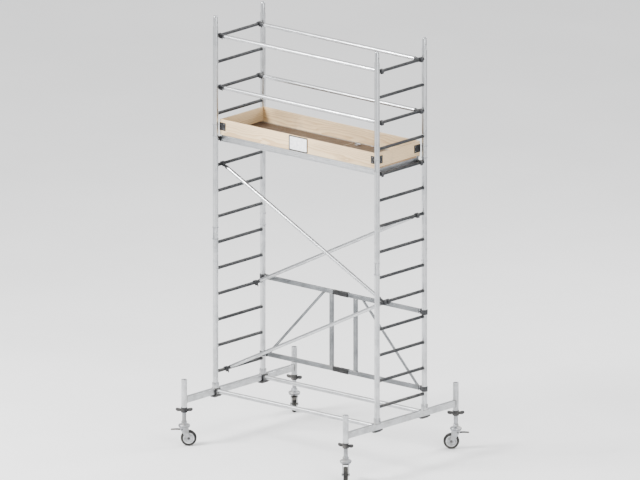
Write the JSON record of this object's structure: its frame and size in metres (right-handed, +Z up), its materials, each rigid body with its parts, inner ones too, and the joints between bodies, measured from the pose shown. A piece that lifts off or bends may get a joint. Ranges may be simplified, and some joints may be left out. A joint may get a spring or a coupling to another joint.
{
  "type": "mobile access tower",
  "caption": "Aluminium rolling scaffold tower: stacked ladder frames on adjustable castors, folding gate, braces, guard rails and a trapdoor platform with toe boards.",
  "frame": {"origin": "floor, centre of the four castors", "axes": "+X along the bay to the right, +Y to the rear, where the gate is, +Z up"},
  "size_m": [2.21, 1.7786, 4.075],
  "materials": {
    "aluminium_tube": "mill-finished extruded aluminium tube, weld beads at the rungs",
    "steel_zinc": "bright zinc plate on pressed steel",
    "cast_dark": "dark painted casting",
    "cast_claw": "dark coated cast claw",
    "trigger_dark": "moulded trigger",
    "tyre_black": "solid black rubber tyre",
    "hub_grey": "moulded nylon wheel centre",
    "sleeve_black": "black moulded sleeve",
    "deck_ply": "film-faced plywood with a mesh pattern",
    "board_wood": "clear-coated pale softwood",
    "plate_white": "blank enamelled plate with a dark border"
  },
  "bodies": {
    "tower": {"base_struts": "aluminium_tube", "brace_claws": "cast_claw", "deck_board": "deck_ply", "end_toe_boards": "board_wood", "front_guard_rails": "aluminium_tube", "front_lower_brace": "aluminium_tube", "front_upper_brace": "aluminium_tube", "gate_hinges": "sleeve_black", "gate_post_brackets": "cast_claw", "hatch_hinges": "steel_zinc", "interlock_clips": "steel_zinc", "left_base_beam": "aluminium_tube", "left_gate_leaf": "aluminium_tube", "left_lower_frame": "aluminium_tube", "left_middle_frame": "aluminium_tube", "left_upper_frame": "aluminium_tube", "name_plate": "plate_white", "platform_claws": "cast_claw", "platform_frame": "aluminium_tube", "rail_claws": "cast_claw", "rear_brace": "aluminium_tube", "rear_guard_rails": "aluminium_tube", "right_base_beam": "aluminium_tube", "right_gate_leaf": "aluminium_tube", "right_lower_frame": "aluminium_tube", "right_middle_frame": "aluminium_tube", "right_upper_frame": "aluminium_tube", "side_toe_boards": "board_wood", "spigots": "aluminium_tube", "strut_brackets": "cast_claw", "toe_board_clips": "sleeve_black"},
    "front_left_leg": {"front_left_spindle": "steel_zinc"},
    "front_left_nut": {"front_left_spindle_nut": "cast_dark"},
    "front_left_castor": {"front_left_castor_fork": "steel_zinc"},
    "front_left_wheel": {"front_left_tyre": "tyre_black", "front_left_wheel_hub": "hub_grey"},
    "front_left_brake": {"front_left_brake_pedal": "cast_dark"},
    "rear_right_leg": {"rear_right_spindle": "steel_zinc"},
    "rear_right_nut": {"rear_right_spindle_nut": "cast_dark"},
    "rear_right_castor": {"rear_right_castor_fork": "steel_zinc"},
    "rear_right_wheel": {"rear_right_tyre": "tyre_black", "rear_right_wheel_hub": "hub_grey"},
    "rear_right_brake": {"rear_right_brake_pedal": "cast_dark"},
    "front_right_leg": {"front_right_spindle": "steel_zinc"},
    "front_right_nut": {"front_right_spindle_nut": "cast_dark"},
    "front_right_castor": {"front_right_castor_fork": "steel_zinc"},
    "front_right_wheel": {"front_right_tyre": "tyre_black", "front_right_wheel_hub": "hub_grey"},
    "front_right_brake": {"front_right_brake_pedal": "cast_dark"},
    "rear_left_leg": {"rear_left_spindle": "steel_zinc"},
    "rear_left_nut": {"rear_left_spindle_nut": "cast_dark"},
    "rear_left_castor": {"rear_left_castor_fork": "steel_zinc"},
    "rear_left_wheel": {"rear_left_tyre": "tyre_black", "rear_left_wheel_hub": "hub_grey"},
    "rear_left_brake": {"rear_left_brake_pedal": "cast_dark"},
    "hatch": {"hatch": "deck_ply"},
    "upper_gate_sleeve": {"upper_gate_sleeve": "sleeve_black"},
    "lower_gate_sleeve": {"lower_gate_sleeve": "sleeve_black"},
    "left_triggers": {"left_claw_triggers": "trigger_dark"},
    "right_triggers": {"right_claw_triggers": "trigger_dark"}
  },
  "joints": [
    {"name": "front_left_leg_slide", "type": "slide", "parent": "tower", "child": "front_left_leg", "axis": [0, 0, 1], "range_m": [-0.12, 0.08]},
    {"name": "front_left_nut_turn", "type": "hinge", "parent": "tower", "child": "front_left_nut", "pos_m": [-1, -0.79, 0.3465], "axis": [0, 0, 1], "range_deg": [-2890, 4330]},
    {"name": "front_left_swivel", "type": "hinge", "parent": "front_left_leg", "child": "front_left_castor", "pos_m": [-1, -0.79, 0.19], "axis": [0, 0, 1], "continuous": true},
    {"name": "front_left_wheel_spin", "type": "hinge", "parent": "front_left_castor", "child": "front_left_wheel", "pos_m": [-0.96821, -0.76256, 0.075], "axis": [-0.6534, 0.757, 0], "continuous": true},
    {"name": "front_left_brake_press", "type": "hinge", "parent": "front_left_castor", "child": "front_left_brake", "pos_m": [-1.01514, -0.80307, 0.16], "axis": [0.6534, -0.757, 0], "range_deg": [0, 20]},
    {"name": "rear_right_leg_slide", "type": "slide", "parent": "tower", "child": "rear_right_leg", "axis": [0, 0, 1], "range_m": [-0.12, 0.08]},
    {"name": "rear_right_nut_turn", "type": "hinge", "parent": "tower", "child": "rear_right_nut", "pos_m": [1, 0.79, 0.3465], "axis": [0, 0, 1], "range_deg": [-2890, 4330]},
    {"name": "rear_right_swivel", "type": "hinge", "parent": "rear_right_leg", "child": "rear_right_castor", "pos_m": [1, 0.79, 0.19], "axis": [0, 0, 1], "continuous": true},
    {"name": "rear_right_wheel_spin", "type": "hinge", "parent": "rear_right_castor", "child": "rear_right_wheel", "pos_m": [0.96821, 0.76256, 0.075], "axis": [0.6534, -0.757, 0], "continuous": true},
    {"name": "rear_right_brake_press", "type": "hinge", "parent": "rear_right_castor", "child": "rear_right_brake", "pos_m": [1.01514, 0.80307, 0.16], "axis": [-0.6534, 0.757, 0], "range_deg": [0, 20]},
    {"name": "front_right_leg_slide", "type": "slide", "parent": "tower", "child": "front_right_leg", "axis": [0, 0, 1], "range_m": [-0.12, 0.08]},
    {"name": "front_right_nut_turn", "type": "hinge", "parent": "tower", "child": "front_right_nut", "pos_m": [1, -0.79, 0.3465], "axis": [0, 0, 1], "range_deg": [-2890, 4330]},
    {"name": "front_right_swivel", "type": "hinge", "parent": "front_right_leg", "child": "front_right_castor", "pos_m": [1, -0.79, 0.19], "axis": [0, 0, 1], "continuous": true},
    {"name": "front_right_wheel_spin", "type": "hinge", "parent": "front_right_castor", "child": "front_right_wheel", "pos_m": [1.02744, -0.82179, 0.075], "axis": [0.757, 0.6534, 0], "continuous": true},
    {"name": "front_right_brake_press", "type": "hinge", "parent": "front_right_castor", "child": "front_right_brake", "pos_m": [0.98693, -0.77486, 0.16], "axis": [-0.757, -0.6534, 0], "range_deg": [0, 20]},
    {"name": "rear_left_leg_slide", "type": "slide", "parent": "tower", "child": "rear_left_leg", "axis": [0, 0, 1], "range_m": [-0.12, 0.08]},
    {"name": "rear_left_nut_turn", "type": "hinge", "parent": "tower", "child": "rear_left_nut", "pos_m": [-1, 0.79, 0.3465], "axis": [0, 0, 1], "range_deg": [-2890, 4330]},
    {"name": "rear_left_swivel", "type": "hinge", "parent": "rear_left_leg", "child": "rear_left_castor", "pos_m": [-1, 0.79, 0.19], "axis": [0, 0, 1], "continuous": true},
    {"name": "rear_left_wheel_spin", "type": "hinge", "parent": "rear_left_castor", "child": "rear_left_wheel", "pos_m": [-1.02744, 0.82179, 0.075], "axis": [-0.757, -0.6534, 0], "continuous": true},
    {"name": "rear_left_brake_press", "type": "hinge", "parent": "rear_left_castor", "child": "rear_left_brake", "pos_m": [-0.98693, 0.77486, 0.16], "axis": [0.757, 0.6534, 0], "range_deg": [0, 20]},
    {"name": "hatch_lift", "type": "hinge", "parent": "tower", "child": "hatch", "pos_m": [0.51, 0.234, 2.941], "axis": [-1, 0, 0], "range_deg": [0, 88]},
    {"name": "upper_sleeve_slide", "type": "slide", "parent": "tower", "child": "upper_gate_sleeve", "axis": [1, 0, 0], "range_m": [0, 0.062]},
    {"name": "lower_sleeve_slide", "type": "slide", "parent": "tower", "child": "lower_gate_sleeve", "axis": [1, 0, 0], "range_m": [0, 0.062]},
    {"name": "left_triggers_slide", "type": "slide", "parent": "tower", "child": "left_triggers", "axis": [1, 0, 0], "range_m": [0, 0.014], "stiffness_N_per_m": 800, "springref_m": -0.01},
    {"name": "right_triggers_slide", "type": "slide", "parent": "tower", "child": "right_triggers", "axis": [-1, 0, 0], "range_m": [0, 0.014], "stiffness_N_per_m": 800, "springref_m": -0.01}
  ],
  "couplings": [
    {"joint": "front_left_nut_turn", "follows": "front_left_leg_slide", "rad_per_m": -628.32},
    {"joint": "rear_right_nut_turn", "follows": "rear_right_leg_slide", "rad_per_m": -628.32},
    {"joint": "front_right_nut_turn", "follows": "front_right_leg_slide", "rad_per_m": -628.32},
    {"joint": "rear_left_nut_turn", "follows": "rear_left_leg_slide", "rad_per_m": -628.32}
  ]
}
